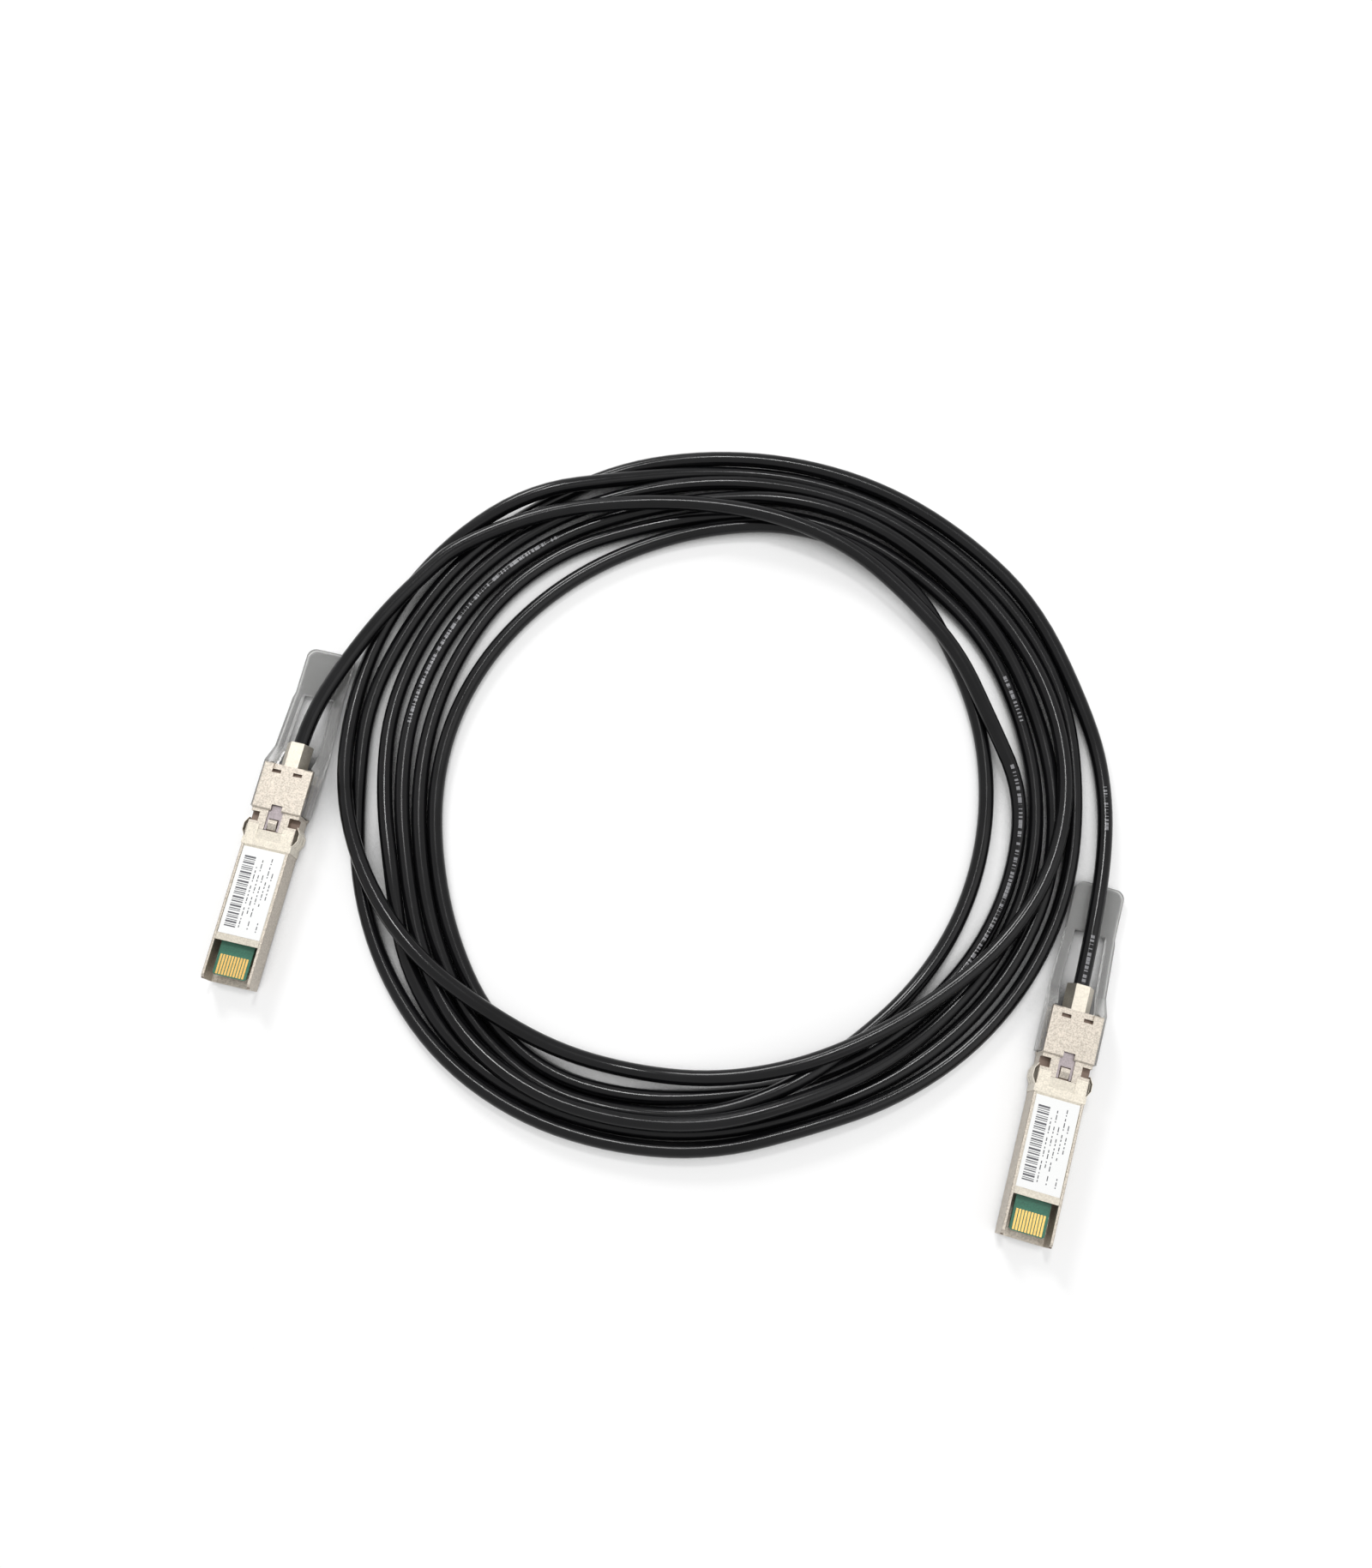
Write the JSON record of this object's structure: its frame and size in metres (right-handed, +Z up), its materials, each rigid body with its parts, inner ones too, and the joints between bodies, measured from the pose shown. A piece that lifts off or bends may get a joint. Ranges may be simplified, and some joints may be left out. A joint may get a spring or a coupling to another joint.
{
  "type": "direct attach copper cable",
  "caption": "Coiled network cable with a small pluggable metal plug on each end, each with a sprung pull-tab release.",
  "frame": {"origin": "bottom centre of the box round the two plugs with their pull tabs, on the surface the cable lies on", "axes": "+X from the left plug to the right plug, +Y from the plug noses towards the cable ends of the plugs, +Z up through the labels"},
  "size_m": [0.2472, 0.2217, 0.0101],
  "materials": {
    "casting": "satin",
    "paper_label": "matte",
    "spring_alloy": "satin",
    "circuit_board": "gloss",
    "gold_plate": "polished",
    "chip_plastic": "matte",
    "ceramic": "matte",
    "foil": "satin",
    "copper": "bright",
    "nickel_plate": "polished",
    "stamped_steel": "satin",
    "spring_steel": "bright",
    "tab_plastic": "translucent, glossy",
    "cable_jacket": "semi-gloss"
  },
  "bodies": {
    "cable_and_plugs": {"left_shell": "casting", "left_latch_cover": "casting", "left_label": "paper_label", "left_ground_spring": "spring_alloy", "left_paddle_card": "circuit_board", "left_contact_pads": "gold_plate", "left_memory_chip": "chip_plastic", "left_capacitors": "ceramic", "left_send_pair": "foil", "left_receive_pair": "foil", "left_conductor_ends": "copper", "left_crimp_ferrule": "nickel_plate", "left_return_springs": "spring_steel", "right_shell": "casting", "right_latch_cover": "casting", "right_label": "paper_label", "right_ground_spring": "spring_alloy", "right_paddle_card": "circuit_board", "right_contact_pads": "gold_plate", "right_memory_chip": "chip_plastic", "right_capacitors": "ceramic", "right_send_pair": "foil", "right_receive_pair": "foil", "right_conductor_ends": "copper", "right_crimp_ferrule": "nickel_plate", "right_return_springs": "spring_steel", "cable_coil": "cable_jacket", "left_cable_tail": "cable_jacket", "right_cable_tail": "cable_jacket"},
    "left_release": {"left_delatch_slide": "stamped_steel", "left_pull_tab": "tab_plastic"},
    "right_release": {"right_delatch_slide": "stamped_steel", "right_pull_tab": "tab_plastic"}
  },
  "joints": [
    {"name": "left_release_slide", "type": "slide", "parent": "cable_and_plugs", "child": "left_release", "axis": [0.2267, 0.974, 0], "range_m": [0, 0.0024], "stiffness_N_per_m": 900, "springref_m": -0.001, "deforming": ["left_return_springs"]},
    {"name": "right_release_slide", "type": "slide", "parent": "cable_and_plugs", "child": "right_release", "axis": [0.2773, 0.9608, 0], "range_m": [0, 0.0024], "stiffness_N_per_m": 900, "springref_m": -0.001, "deforming": ["right_return_springs"]}
  ]
}
